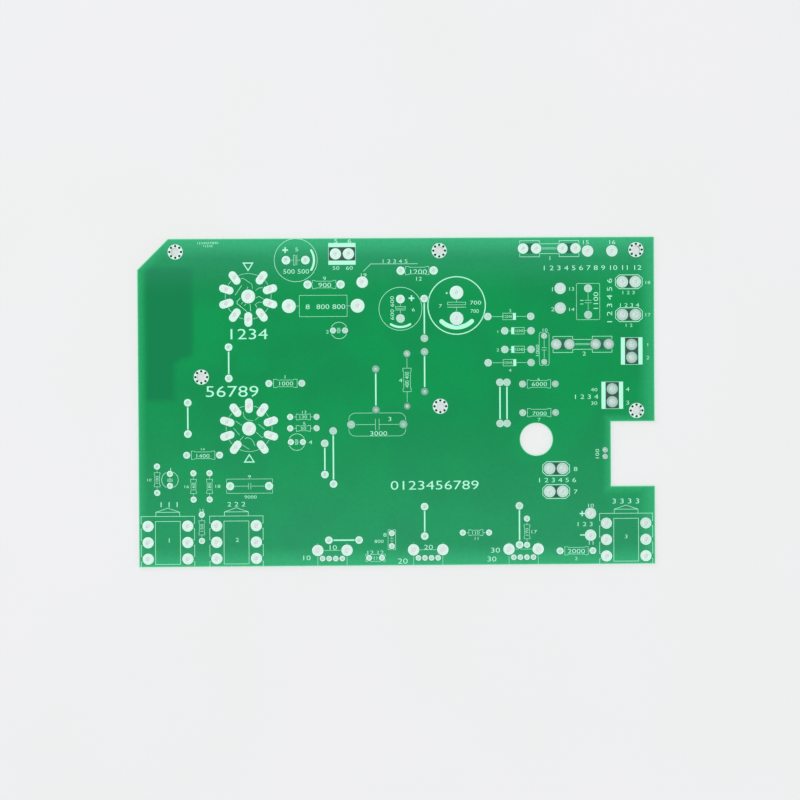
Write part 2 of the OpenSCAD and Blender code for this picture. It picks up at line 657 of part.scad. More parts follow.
module upper_socket_pads() { socket_pads(0); }
module lower_socket_pads() { socket_pads(1); }
module left_jack_pads() { pads(jack_pads(jacks[0])); }
module middle_jack_pads() { pads(jack_pads(jacks[1])); }
module right_jack_pads() { pads(jack_pads(jacks[2])); }
module left_control_pads() { pads(control_pads(controls[0])); }
module middle_control_pads() { pads(control_pads(controls[1])); }
module right_control_pads() { pads(control_pads(controls[2])); }
module terminal_pads() { pads(p_terminals); }
module spade_pads() { pads(p_spades); }
module wire_pads() { pads(p_wires); }
module fuse_clip_pads() { pads(p_fuses); }
module header_pads() { pads(p_headers); }
module resistor_pads() { pads(p_resistors); }
module small_resistor_pads() { pads(p_small); }
module cement_resistor_pads() { pads(p_cement); }
module can_capacitor_pads() { pads(p_cans); }
module bead_capacitor_pads() { pads(p_beads); }
module film_capacitor_pads() { pads(p_films); }
module diode_pads() { pads(p_diodes); }

// the double link's pads run into each other, so each end is one piece
module link_pads() {
    pads(p_links);
    color(tin_grey) for (e = [0, 1]) union() {
        pad(p_double[e]);
        pad(p_double[e + 2]);
    }
}

// ---- legend ----
module ink() {
    color(ink_white) translate([0, 0, print_z]) linear_extrude(ink_t)
        difference() {
            children();
            openings(ink_gap);
        }
}

module ring(d, w) {
    difference() {
        circle(d = d + w, $fn = 96);
        circle(d = d - w, $fn = 96);
    }
}

module box_line(l, h, w) {
    difference() {
        square([l + w, h + w], center = true);
        square([l - w, h - w], center = true);
    }
}

module rounded_line(l, h, r, w) {
    difference() {
        polygon(rounded_points(l + w, h + w, r + w / 2));
        polygon(rounded_points(l - w, h - w, max(r - w / 2, 0.02)));
    }
}

// A capacitor's sign, plates across X: a hollow plate and a line
module polar_plates(gap, h, reach) {
    translate([-gap * 0.7, 0]) box_line(gap * 0.9, h, fine_w);
    translate([gap * 0.6, 0]) square([line_w, h + fine_w], center = true);
    for (s = [-1, 1]) stroke([s * gap * (s < 0 ? 1.2 : 0.7), 0],
        [s * reach, 0], fine_w);
}

module plain_plates(gap, h, reach) {
    for (s = [-1, 1]) {
        translate([s * gap / 2, 0]) square([fine_w, h], center = true);
        stroke([s * gap / 2, 0], [s * reach, 0], fine_w);
    }
}

module key_triangle() {
    translate([0, socket_r + 1.35]) difference() {
        polygon([[-2.2, 2.9], [2.2, 2.9], [0, -0.55]]);
        polygon([[-1.45, 2.45], [1.45, 2.45], [0, 0.2]]);
    }
}

module socket_legend() {
    ink() {
        for (s = sockets) translate(s[0]) rotate(s[1]) {
            ring(2 * socket_r, fine_w);
            key_triangle();
        }
        // the pentode's electrodes
        translate(sockets[0][0]) {
            strokes([[-3.2, 6.8], [-1.9, 7], [1.4, 4.8], [1.7, 3.1]], fine_w);
            stroke([-2.5, 4.2], [-5, 0.6], line_w);
            stroke([-0.1, 3.7], [-0.9, 1.8], fine_w);
            strokes([[5.6, 3.4], [4, 3.2], [3, 2.4]], fine_w);
            strokes([[2.8, -0.6], [4.2, 0], [6, -1.1]], fine_w);
            strokes([[5.6, -2.3], [4, -2.2], [2.7, -3.1], [3.5, -4.6]], fine_w);
            strokes([[-3, -0.6], [-4.3, -1.9], [-4.3, -2.7], [-0.6, -5.8]],
                line_w);
            stroke([-2, -2.2], [-2.7, -2.9], fine_w);
            stroke([-1, -2.9], [-1.5, -3.6], fine_w);
            stroke([0.7, -2.8], [0.9, -5.6], line_w);
        }
        // the double triode's electrodes
        translate(sockets[1][0]) {
            strokes([[-2.2, 6.4], [-1.9, 4.6], [-1, 3.6], [0.4, 3.1],
                [1.5, 3.1]], fine_w);
            stroke([-5.2, 3], [-2.4, 1], fine_w);
            stroke([-6, 0.2], [-3.7, -2.4], fine_w);
            stroke([2.4, 3.3], [4, 4.8], fine_w);
            strokes([[3.6, 1.7], [6, -0.2]], fine_w);
            strokes([[2.8, -1.4], [4.8, -3.4], [6, -3]], fine_w);
            strokes([[-1.6, -3.9], [-0.6, -3.4], [0.7, -3.9], [1.6, -5.1],
                [2.2, -6.6]], fine_w);
            strokes([[-3.6, -5.6], [0, -8]], fine_w);
            stroke([-2.2, -3], [-3.9, -4.9], fine_w);
        }
    }
}

// A jack: an outline that steps in at each pad, the plug's channel and the
// pointed bushing
module jack_shape() {
    x = jack_w / 2;
    top = jack_pitch + 3.8;
    low = -9.65 + mask_edge;
    strokes([[-x, top], [x, top]], line_w);
    for (s = [-1, 1]) {
        stroke([s * x, top], [s * x, jack_pitch + 1], line_w);
        stroke([s * x, jack_pitch - 1], [s * x, 1], line_w);
        stroke([s * x, -1], [s * x, 1 - jack_pitch], line_w);
        translate([s * x, (low - jack_pitch - 1) / 2])
            square([line_w, -jack_pitch - 1 - low], center = true);
        for (k = [-1, 0, 1]) for (t = [-1, 1])
            stroke([s * x, k * jack_pitch + t],
                [s * (x - 1.4), k * jack_pitch + t], fine_w);
    }
    translate([0, -0.1]) box_line(9.6, 16.6, line_w);
    strokes([[-4.6, top], [-4.6, top + 1.6], [0, top + 3.2],
        [4.6, top + 1.6], [4.6, top]], line_w);
    stroke([-4.4, top + 1.6], [4.4, top + 1.6], line_w);
}

module jack_legend() {
    ink() for (c = jacks) translate(c) jack_shape();
}

module control_legend() {
    ink() for (c = controls) translate(c) {
        stroke([-lug_pitch / 2, 0], [lug_pitch / 2, 0], fine_w);
        for (s = [-1, 1]) translate([s * lug_pitch / 2 - fine_w / 2,
            mask_edge - 6.2]) square([fine_w, 9 - mask_edge]);
    }
}

module terminal_legend() {
    ink() for (t = terminals) translate(t[0]) rotate(t[1]) {
        box_line(10.4, 8.2, fine_w);
        for (s = [-1, 1]) translate([0, s * 3.4])
            square([10.4, 1.6], center = true);
    }
}

module spade_legend() {
    ink() for (c = spades) translate(c) difference() {
        polygon([for (q = [[5.3, 1.4], [3.7, 2.8], [-3.7, 2.8], [-5.3, 1.4],
            [-5.3, -1.4], [-3.7, -2.8], [3.7, -2.8], [5.3, -1.4]]) q]);
        polygon([for (q = [[5.07, 1.3], [3.61, 2.56], [-3.61, 2.56], [-5.07, 1.3],
            [-5.07, -1.3], [-3.61, -2.56], [3.61, -2.56], [5.07, -1.3]]) q]);
    }
}

module fuse_legend() {
    ink() for (c = fuses) translate(c) {
        translate([0, -0.1]) for (s = [-1, 1]) {
            translate([s * clip_span / 2, 0]) box_line(7.6, 6.2, line_w);
            stroke([-clip_span / 2 + 3.8, s * 1.9],
                [clip_span / 2 - 3.8, s * 1.9], line_w);
        }
        box_line(clip_span - clip_pitch, 0.45, fine_w);
    }
}

module link_legend() {
    ink() {
        for (l = links) translate(l[0]) rotate(l[1])
            square([l[2], link_line_w], center = true);
        for (s = [-1, 1])
            translate(double_link[0] + [s * link_pair / 2, 0])
                rotate(double_link[1])
                    square([double_link[2], link_line_w], center = true);
    }
}

module body_line(l, w, reach) {
    difference() {
        polygon(bone_points(l, w, 0));
        polygon(bone_points(l, w, fine_w));
    }
    for (s = [-1, 1]) translate([s * (l / 2 + reach) / 2, 0])
        square([reach - l / 2, fine_w], center = true);
}

module resistor_legend() {
    ink() for (r = resistors) translate(r[0]) rotate(r[1])
        body_line(resistor_l, resistor_w, r[2] / 2);
}

module small_resistor_legend() {
    ink() for (r = small_resistors) translate(r[0]) rotate(r[1])
        body_line(small_l, small_w, small_pitch / 2);
}

module cement_resistor_legend() {
    ink() translate(cement) {
        box_line(cement_l, cement_w, fine_w);
        for (s = [-1, 1]) translate([s * (cement_l + cement_pitch) / 4, 0])
            square([(cement_pitch - cement_l) / 2, fine_w], center = true);
    }
}

module can_capacitor_legend() {
    ink() {
        for (c = cans) translate(c[0]) rotate(c[1]) {
            ring(can_d, line_w);
            polygon(band_points(can_d / 2 - 1.25, 0.85, 32));
            polar_plates(0.75, 3.8, can_pitch / 2);
        }
        translate(reservoir[0]) rotate(reservoir[1]) {
            ring(reservoir_d, bold_w);
            polygon(band_points(reservoir_d / 2 - 2.65, 1.7, 44));
            polar_plates(1.1, 7, reservoir_pitch / 2);
        }
    }
}

module bead_capacitor_legend() {
    ink() for (b = beads) translate(b[0]) rotate(b[1]) {
        ring(bead_d, line_w);
        polar_plates(0.5, 1.9, bead_pitch / 2);
    }
}

module film_capacitor_legend() {
    ink() for (f = films) translate(f[0]) rotate(f[1]) {
        rounded_line(f[4], f[5], f[6], fine_w);
        plain_plates(f[2] > 18 ? 1.4 : 0.9, f[7], f[2] / 2);
    }
}

module diode_legend() {
    ink() for (d = diodes) translate(d[0]) {
        box_line(diode_l, diode_w, fine_w);
        translate([d[2] * (diode_l / 2 - 0.55), 0])
            square([1.1, diode_w], center = true);
        for (s = [-1, 1]) stroke([s * diode_l / 2, 0],
            [s * d[1] / 2, 0], fine_w);
    }
}

// The pointer to the chassis pad
module wire_legend() {
    ink() translate(wires[0])
        strokes([[0.5, 4.2], [3.3, 7], [21.3, 7]], line_w);
}

laminate();
solder_mask_top();
solder_mask_bottom();
copper_area_top();
copper_pour_bottom();
copper_tracks_bottom();
mounting_pads();
upper_socket_pads();
lower_socket_pads();
left_jack_pads();
middle_jack_pads();
right_jack_pads();
left_control_pads();
middle_control_pads();
right_control_pads();
terminal_pads();
spade_pads();
wire_pads();
fuse_clip_pads();
link_pads();
header_pads();
resistor_pads();
small_resistor_pads();
cement_resistor_pads();
can_capacitor_pads();
bead_capacitor_pads();
film_capacitor_pads();
diode_pads();
socket_legend();
jack_legend();
control_legend();
terminal_legend();
spade_legend();
fuse_legend();
link_legend();
resistor_legend();
small_resistor_legend();
cement_resistor_legend();
can_capacitor_legend();
bead_capacitor_legend();
film_capacitor_legend();
diode_legend();
wire_legend();
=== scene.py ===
"""The looks of a bare circuit board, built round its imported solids."""
import math

import bpy
import numpy as np
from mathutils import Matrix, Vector
from mathutils.bvhtree import BVHTree


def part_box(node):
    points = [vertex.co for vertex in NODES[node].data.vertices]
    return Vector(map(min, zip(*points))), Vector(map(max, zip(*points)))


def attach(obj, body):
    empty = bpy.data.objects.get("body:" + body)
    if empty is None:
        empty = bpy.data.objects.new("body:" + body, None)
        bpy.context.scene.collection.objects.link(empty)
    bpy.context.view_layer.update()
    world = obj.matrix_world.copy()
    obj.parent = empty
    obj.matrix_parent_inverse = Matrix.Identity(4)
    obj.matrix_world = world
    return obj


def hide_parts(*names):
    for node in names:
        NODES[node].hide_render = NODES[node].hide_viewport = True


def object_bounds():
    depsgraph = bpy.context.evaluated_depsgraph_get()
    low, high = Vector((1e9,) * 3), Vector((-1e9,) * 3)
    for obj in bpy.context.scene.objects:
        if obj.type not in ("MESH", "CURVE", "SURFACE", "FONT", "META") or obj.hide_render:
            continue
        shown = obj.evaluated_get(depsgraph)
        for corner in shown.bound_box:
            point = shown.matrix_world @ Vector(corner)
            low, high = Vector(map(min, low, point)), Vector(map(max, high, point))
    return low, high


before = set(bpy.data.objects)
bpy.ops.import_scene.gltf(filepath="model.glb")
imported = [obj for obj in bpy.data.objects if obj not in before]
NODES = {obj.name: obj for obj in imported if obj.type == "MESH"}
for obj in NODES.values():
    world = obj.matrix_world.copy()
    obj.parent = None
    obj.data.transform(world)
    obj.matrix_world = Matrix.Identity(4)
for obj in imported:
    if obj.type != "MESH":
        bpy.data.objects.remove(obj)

CAD_BOX = [list(corner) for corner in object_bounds()]

# ---- sizes, in millimetres ----
MM = 0.001                      # what one of them is in the scene's metres
BOARD_L = (CAD_BOX[1][0] - CAD_BOX[0][0]) / MM
BOARD_W = (CAD_BOX[1][1] - CAD_BOX[0][1]) / MM
CORNER_CUT = 12                 # along each edge
NOTCH_DEPTH = 17
NOTCH_LOW = 30.6                # both measured up from the lower edge
NOTCH_HIGH = 55.2
CABLE_HOLE = (153.9, 48.7)      # its middle, from the lower left corner
CABLE_HOLE_D = 12.2
UPPER_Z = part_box("laminate")[1].z / MM
LOWER_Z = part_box("laminate")[0].z / MM
PAD_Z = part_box("link_pads")[1].z / MM
PRINT_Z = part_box("solder_mask_top")[1].z / MM
INK_T = CAD_BOX[1][2] / MM - PRINT_Z
PLATING = 0.05                  # the copper wall in a pad's hole
TIN_EDGE = 0.05                 # how far the tin draws in above a land's rim
PAD_SIDES = 32
SKIN_DROP = 0.02                # how much lower the lower mask lies over copper
FILM_T = 0.004                  # a dark film of painted shade between close pads
FILM_GAP = 0.02                 # between that film and a pad
TERMINAL_SHADE = (10.2, 5.2)   # the painted shade between the two bars of a terminal block
CLOSE = 0.3                     # pads this much further apart are still neighbours
STITCHES = 8                    # small plated holes round a mounting hole
STITCH_CIRCLE = 2.25            # the radius that they stand on
SHADE_STEP = 0.5                # between the samples of the shade over copper
GRID_STEP = 1.6      # of the squares that the upper mask is cut into
SAME = 1e-3                     # points this close count as one
LEVEL = 1e-4                    # and heights this close as equal


def from_corner(x, y):
    """A place measured from the board's lower left corner, in the board's own frame."""
    return x - BOARD_L / 2, y - BOARD_W / 2


# ---- shader maths ----
class Sock:
    """A node's output, so that sums on it can be written as Python."""

    def __init__(self, graph, link):
        self.graph, self.link = graph, link

    def math(self, operation, *others):
        return self.graph.math(operation, self, *others)

    def __add__(self, other):
        return self.math("ADD", other)

    __radd__ = __add__

    def __mul__(self, other):
        return self.math("MULTIPLY", other)

    __rmul__ = __mul__

    def __sub__(self, other):
        return self.math("SUBTRACT", other)

    def __rsub__(self, other):
        return self.graph.math("SUBTRACT", other, self)

    def least(self, other):
        return self.math("MINIMUM", other)

    def most(self, other):
        return self.math("MAXIMUM", other)

    def rise(self, low, high):
        """0 below low, 1 above high, and a smooth step between them."""
        return self.graph.add("ShaderNodeMapRange", {"interpolation_type": "SMOOTHSTEP"},
                              self, low, high)


class Graph:
    """The node tree of a material or of the room, cleared to start with."""

    def __init__(self, owner):
        owner.use_nodes = True
        self.tree = owner.node_tree
        self.tree.nodes.clear()

    def node(self, kind, settings, inputs):
        """A node of that kind. Its settings come first, then its inputs by place or by name."""
        node = self.tree.nodes.new(kind)
        for key, value in settings.items():
            setattr(node, key, value)
        for key, value in inputs.items():
            if isinstance(value, Sock):
                self.tree.links.new(value.link, node.inputs[key])
            else:
                node.inputs[key].default_value = value
        return node

    def add(self, kind, settings=None, *values, out=0, **named):
        """The chosen output of a new node; an input's name has _ where the node has a space."""
        inputs = dict(enumerate(values))
        inputs.update((name.replace("_", " "), value) for name, value in named.items())
        node = self.node(kind, settings or {}, inputs)
        return Sock(self, node.outputs[out]) if len(node.outputs) else None

    def math(self, operation, *values):
        return self.add("ShaderNodeMath", {"operation": operation}, *values)

    def mix(self, factor, a, b):
        """Colour a where factor is 0, and b where it is 1."""
        colour_a, colour_b, result = 6, 7, 2     # sockets that share their names with others
        node = self.node("ShaderNodeMix", {"data_type": "RGBA"},
                         {"Factor": factor, colour_a: a, colour_b: b})
        return Sock(self, node.outputs[result])

    def point(self):
        """The point on the object, in millimetres."""
        here = self.add("ShaderNodeTexCoord", out="Object")
        return self.add("ShaderNodeVectorMath", {"operation": "SCALE"}, here, Scale=1 / MM)

    def split(self, vector):
        """The X, Y and Z of a vector."""
        node = self.node("ShaderNodeSeparateXYZ", {}, {0: vector})
        return [Sock(self, output) for output in node.outputs]

    def attribute(self, name):
        """A number that the piece's own points carry."""
        return self.add("ShaderNodeAttribute", {"attribute_name": name}, out="Fac")

    def ray(self, kind):
        """1 for light on that kind of path, and 0 for other light."""
        return self.add("ShaderNodeLightPath", out="Is %s Ray" % kind)

    def noise(self, point, scale, detail=2.0, roughness=0.5):
        return self.add("ShaderNodeTexNoise", None, Vector=point, Scale=scale, Detail=detail,
                        Roughness=roughness)

    def bump(self, strength, depth, height):
        """A surface that the height raises by up to that depth, in millimetres."""
        return self.add("ShaderNodeBump", None, Strength=strength, Distance=depth * MM,
                        Height=height)

    def surface(self, **inputs):
        """Finishes the tree with a Principled shader of those inputs."""
        self.output(self.add("ShaderNodeBsdfPrincipled", None, **inputs))

    def output(self, shader):
        self.add("ShaderNodeOutputMaterial", None, shader)


def srgb(red, green, blue):
    """A colour on the 0 to 255 scale of a screen, as the shader takes it."""
    def linear(value):
        value /= 255
        return value / 12.92 if value <= 0.04045 else ((value + 0.055) / 1.055) ** 2.4
    return linear(red), linear(green), linear(blue), 1.0


def new_material(name):
    material = bpy.data.materials.new(name)
    return material, Graph(material)


def edge_distance(x, y):
    """How far inside the board's outer edge a point lies, in millimetres."""
    half_l, half_w = BOARD_L / 2, BOARD_W / 2
    across, up = x.math("ABSOLUTE"), y.math("ABSOLUTE")
    nearest = (half_l - across).least(half_w - up)
    corner = (x - y + (half_l + half_w - CORNER_CUT)) * math.sqrt(0.5)
    notch_x = (half_l - NOTCH_DEPTH) - x
    notch_mid = (NOTCH_LOW + NOTCH_HIGH) / 2 - half_w
    notch_y = (y - notch_mid).math("ABSOLUTE") - (NOTCH_HIGH - NOTCH_LOW) / 2
    return nearest.least(corner).least(notch_x.most(notch_y))


def cable_hole_distance(x, y):
    """How far outside the round cable hole a point lies, in millimetres."""
    middle = from_corner(*CABLE_HOLE)
    dx, dy = x - middle[0], y - middle[1]
    return (dx * dx + dy * dy).math("SQRT") - CABLE_HOLE_D / 2


# ---- materials ----
def weave(graph, point, pitch):
    """The glass cloth's threads, from 0 to 1, showing faintly through what covers them."""
    wave = {"wave_type": "BANDS", "wave_profile": "SIN"}
    across, along = (graph.add("ShaderNodeTexWave", dict(wave, bands_direction=axis), out="Fac",
                               Vector=point, Scale=math.pi / (10 * pitch), Distortion=0.6,
                               Detail=1.0) for axis in ("X", "Y"))
    return across * along


def solder_mask():
    """Green mask: darker where copper lies beneath it, and paler towards the board's edges, where
    a painted sheen and a painted glow lie on it.
    """
    material, g = new_material("green_solder_mask")
    point = g.point()
    x, y = g.split(point)[:2]
    cloud = g.noise(point, 0.035, 2.0).rise(0.35, 0.65)
    grain = g.noise(point, 0.9, 3.0, 0.6)
    bare_green = g.mix(cloud, srgb(4, 154, 82), srgb(10, 149, 82))
    over_copper = g.mix(cloud, srgb(8, 152, 81), srgb(13, 144, 80))
    colour = g.mix(g.attribute("copper").rise(0.0, 1.0), bare_green, over_copper)
    colour = g.mix(g.attribute("top_copper"), colour, srgb(12, 130, 76))
    # how far in from each edge: a wide painted sheen of the bright room, then a narrow painted
    # glow of light through the edges, then a pale painted glow at the rim
    left, right = x + BOARD_L / 2, BOARD_L / 2 - x
    lower, upper = y + BOARD_W / 2, BOARD_W / 2 - y
    edge = edge_distance(x, y)
    painted_sheen = (1 - lower.rise(0, 75)) * 0.22 + (1 - upper.rise(0, 24)) * 0.3
    colour = g.mix(painted_sheen, colour, srgb(80, 170, 150))
    painted_edge_glow = ((1 - lower.rise(0, 9)) * 0.55).most((1 - upper.rise(0, 9)) * 0.6)
    painted_edge_glow = painted_edge_glow.most((1 - right.rise(0, 8)) * 0.5).most((1 - left.rise(0, 3)) * 0.4)
    painted_edge_glow = painted_edge_glow.most((1 - edge.rise(0, 4)) * 0.4)
    colour = g.mix(painted_edge_glow, colour, srgb(66, 196, 136))
    rim = edge.least(cable_hole_distance(x, y) + 0.2)
    colour = g.mix((1 - rim.rise(0, 0.9)) * 0.8, colour, srgb(112, 214, 168))
    cloth = weave(g, point, 0.55)
    colour = g.mix(grain.rise(0.3, 0.8) * 0.16 + cloth * 0.14, colour, srgb(8, 112, 68))
    g.surface(Base_Color=colour, Specular_IOR_Level=0.3, Roughness=grain * 0.1 + 0.14,
              Normal=g.bump(0.12, 0.03, cloth + grain * 0.8))
    return material


def underside_mask(name, green):
    """Mask on the underside, in the shade that what is beneath it gives."""
    material, g = new_material(name)
    point = g.point()
    x, y = g.split(point)[:2]
    grain = g.noise(point, 0.9, 3.0, 0.6)
    cloud = g.noise(point, 0.05, 2.0)
    deep_green = [0.86 * part for part in green]
    colour = g.mix(cloud.rise(0.3, 0.7) * 0.25, srgb(*green), srgb(*deep_green))
    edge = edge_distance(x, y).least(cable_hole_distance(x, y))
    colour = g.mix((1 - edge.rise(0.0, 2.5)) * 0.5, colour, srgb(60, 176, 116))
    g.surface(Base_Color=colour, Roughness=grain * 0.12 + 0.22,
              Normal=g.bump(0.15, 0.03, weave(g, point, 0.45) + grain))
    return material


def tin():
    """Dipped tin: mint on the lands, with a painted highlight that whitens the holes of big pads
    and painted green shade at the holes of small pads; a painted dark reflection of what is
    overhead makes it look duller in places.
    """
    material, g = new_material("dipped_tin")
    point = g.point()
    cells = g.noise(point, 2.2, 4.0, 0.6)
    fine = g.noise(point, 9.0, 2.0)
    dark_reflection, inner, small = (g.attribute(name) for name in ("dark_reflection", "inner", "small"))
    inner = inner.rise(0.25, 1.0) * 0.8
    # painted highlight towards the holes of big pads, and painted green shade towards the holes of
    # small pads
    bright = g.mix(inner, g.mix(small, srgb(216, 255, 241), srgb(211, 255, 239)),
                   g.mix(small, srgb(230, 248, 241), srgb(174, 237, 209)))
    # tin with a painted dark reflection of what is overhead, lighter towards the hole
    dark_reflecting_tin = g.mix(inner, g.mix(small, srgb(118, 156, 144), srgb(100, 172, 140)),
                 g.mix(small, srgb(204, 230, 220), srgb(138, 212, 176)))
    colour = g.mix(cells.rise(0.35, 0.7) * 0.12, g.mix(dark_reflection, bright, dark_reflecting_tin), srgb(96, 168, 138))
    g.surface(Base_Color=colour, Metallic=0.25, Roughness=cells * 0.25 + 0.3,
              Normal=g.bump(0.25, 0.04, cells + fine * 0.3))
    return material


def legend_ink():
    """Screen-printed ink, a little thin in places."""
    material, g = new_material("white_legend_ink")
    patch = g.noise(g.point(), 1.6, 3.0, 0.65)
    colour = g.mix(patch.rise(0.45, 0.8) * 0.35, srgb(181, 252, 224), srgb(142, 236, 196))
    g.surface(Base_Color=colour, Roughness=patch * 0.2 + 0.55, Normal=g.bump(0.2, 0.02, patch))
    return material


def glass_epoxy():
    """Routed edges with the cloth's layers in them, and painted shade on the face in each pad's
    groove.
    """
    material, g = new_material("glass_epoxy")
    point = g.point()
    x, y, z = g.split(point)
    layer_t = 0.19
    layers = (z * (2 * math.pi / layer_t)).math("SINE")
    threads = g.noise(point, 3.5, 3.0, 0.6)
    cut = g.mix(layers.rise(-0.6, 0.9) * 0.45, srgb(204, 250, 226), srgb(168, 226, 190))
    cut = g.mix(threads.rise(0.4, 0.8) * 0.3, cut, srgb(226, 253, 238))
    # painted shade on all faces away from the routed edges, seen in each pad's groove
    inside = edge_distance(x, y).least(cable_hole_distance(x, y)).rise(0.45, 0.6)
    g.surface(Base_Color=g.mix(inside, cut, srgb(14, 66, 44)), Roughness=threads * 0.3 + 0.5,
              Normal=g.bump(0.4, 0.03, layers * 0.5 + threads))
    return material


def bare_copper():
    """Copper that lies hidden under the mask."""
    material, g = new_material("bare_copper")
    stain = g.noise(g.point(), 0.8, 3.0)
    colour = g.mix(stain.rise(0.3, 0.7), srgb(205, 138, 100), srgb(176, 108, 74))
    g.surface(Base_Color=colour, Metallic=0.9, Roughness=stain * 0.3 + 0.25)
    return material


def dark_fill(name, first, second, roughness):
    """Painted shade in a small place, cloudy between two dark colours."""
    material, g = new_material(name)
    tint = g.mix(g.noise(g.point(), 3.0).rise(0.3, 0.7), srgb(*first), srgb(*second))
    g.surface(Base_Color=tint, Roughness=roughness)
    return material


def floor_paint():
    """Pale, and seen a little brighter than it is lit; it keeps the board's shadow."""
    material, g = new_material("pale_floor")
    cloud = g.noise(g.point(), 0.01).rise(0.3, 0.7)
    paint = g.mix(cloud, srgb(239, 239, 241), srgb(237, 238, 238))
    matt = g.add("ShaderNodeBsdfDiffuse", None, paint)
    plain = g.add("ShaderNodeEmission", None, paint, 1.0)
    seen = g.ray("Camera").most(g.ray("Glossy")).most(g.ray("Transmission"))
    g.output(g.add("ShaderNodeMixShader", None, seen * 0.7, matt, plain))
    return material


TIN = tin()
INK = legend_ink()
MASK = solder_mask()
MASK_UNDER_BARE = underside_mask("green_mask_under_bare", (24, 152, 86))
MASK_UNDER_COPPER = underside_mask("green_mask_under_copper", (16, 118, 66))
# near-black painted shade for the narrow stitching holes
HOLE_SHADE = dark_fill("painted_hole_shade", (3, 10, 7), (10, 20, 15), 0.5)
# painted shade between close pads, darker beside spades and terminals than between fuse clips
GAP_SHADE = dark_fill("painted_gap_shade", (30, 70, 56), (42, 84, 68), 0.6)
CLIP_GAP_SHADE = dark_fill("painted_clip_gap_shade", (24, 96, 70), (36, 110, 82), 0.35)


# ---- modelling helpers ----
def deselect():
    bpy.ops.object.select_all(action="DESELECT")


def pick(*objects):
    """Only these are selected, and the last one is active."""
    deselect()
    for obj in objects:
        obj.select_set(True)
    bpy.context.view_layer.objects.active = objects[-1]


def edit(piece):
    """Opens the piece in edit mode, with nothing on it selected."""
    pick(piece)
    bpy.ops.object.mode_set(mode="EDIT")
    bpy.ops.mesh.select_mode(type="VERT")
    bpy.ops.mesh.select_all(action="DESELECT")


def done():
    bpy.ops.object.mode_set(mode="OBJECT")


def edit_points(piece, chosen):
    """Opens the piece with the chosen points selected, given as true or false for each."""
    edit(piece)
    done()
    piece.data.vertices.foreach_set("select", chosen)
    bpy.ops.object.mode_set(mode="EDIT")


def copy_of(node, name):
    """A CAD node's mesh as a new piece, with its doubles merged."""
    piece = bpy.data.objects.new(name, NODES[node].data.copy())
    bpy.context.scene.collection.objects.link(piece)
    piece.data.materials.clear()
    edit(piece)
    bpy.ops.mesh.select_all(action="SELECT")
    bpy.ops.mesh.remove_doubles(threshold=SAME * MM)
    done()
    return piece


def points_of(obj):
    """The corner points of an object's mesh, in millimetres."""
    points = np.empty(len(obj.data.vertices) * 3)
    obj.data.vertices.foreach_get("co", points)
    return points.reshape(-1, 3) / MM


def move(piece, chosen, shift):
    """Moves the chosen points by so many millimetres."""
    edit_points(piece, chosen)
    bpy.ops.transform.translate(value=[s * MM for s in shift])
    done()


def set_attribute(piece, name, values):
    """One number for each point of the piece, for its material to read."""
    layer = piece.data.attributes.new(name, "FLOAT", "POINT")
    layer.data.foreach_set("value", values.astype(np.float32))


def drawn(corners):
    """A chain of edges from corner to corner, left in edit mode; it closes where its ends meet."""
    deselect()
    bpy.ops.mesh.primitive_plane_add(size=0.1 * MM)      # merged to one point, to start from
    piece = bpy.context.object
    bpy.ops.object.mode_set(mode="EDIT")
    bpy.ops.mesh.select_mode(type="VERT")
    bpy.ops.mesh.merge(type="CENTER")
    bpy.ops.transform.translate(value=[c * MM for c in corners[0]])
    for here, there in zip(corners, corners[1:]):
        step = [(b - a) * MM for a, b in zip(here, there)]
        bpy.ops.mesh.extrude_vertices_move(TRANSFORM_OT_translate={"value": step})
    bpy.ops.mesh.select_all(action="SELECT")
    bpy.ops.mesh.remove_doubles(threshold=LEVEL * MM)
    return piece


def turned(profile):
    """A section turned round the Z axis; its corners are distances out and heights."""
    piece = drawn([(r, 0, z) for r, z in profile])
    bpy.ops.mesh.spin(steps=PAD_SIDES, angle=2 * math.pi, center=(0, 0, 0), axis=(0, 0, 1))
    bpy.ops.mesh.select_all(action="SELECT")
    bpy.ops.mesh.remove_doubles(threshold=SAME * MM)
    bpy.ops.mesh.normals_make_consistent(inside=False)
    done()
    return piece


def plate(outline, low, high):
    """A flat plate of that outline between two heights."""
    piece = drawn([(x, y, low) for x, y in outline + outline[:1]])
    bpy.ops.mesh.edge_face_add()
    bpy.ops.mesh.extrude_region_move(TRANSFORM_OT_translate={"value": (0, 0, (high - low) * MM)})
    bpy.ops.mesh.select_all(action="SELECT")
    bpy.ops.mesh.normals_make_consistent(inside=False)
    done()
    return piece


def set_down(form, x, y, turn=0.0):
    """A copy of the form, with its own mesh, at a place on the board."""
    piece = bpy.data.objects.new(form.name, form.data.copy())
    bpy.context.scene.collection.objects.link(piece)
    piece.location = (x * MM, y * MM, 0)
    piece.rotation_euler.z = turn
    return piece


def join(objects, name):
    """One piece from several, with its place in its mesh."""
    bpy.context.view_layer.update()
    pick(*objects)
    if len(objects) > 1:
        bpy.ops.object.join()
    bpy.ops.object.transform_apply(location=True, rotation=True, scale=True)
    piece = bpy.context.view_layer.objects.active
    piece.name = piece.data.name = name
    return piece


def finish_piece(piece, material, slot, *stands_for):
    """Puts the material on, and ties the piece to the board."""
    piece.data.materials.clear()
    piece.data.materials.append(material)
    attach(piece, "root")
    if stands_for:
        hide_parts(*stands_for)


# ---- solder mask ----
def blurred(field, sigma):
    """A field of samples, smoothed over sigma millimetres each way."""
    reach = int(math.ceil(3 * sigma / SHADE_STEP))
    weights = np.exp(-0.5 * (np.arange(-reach, reach + 1) * SHADE_STEP / sigma) ** 2)
    weights /= weights.sum()
    for axis in (0, 1):
        padded = np.pad(field, [(reach, reach) if a == axis else (0, 0) for a in (0, 1)],
                        mode="edge")
        field = sum(w * np.take(padded, range(k, k + field.shape[axis]), axis=axis)
                    for k, w in enumerate(weights))
    return field


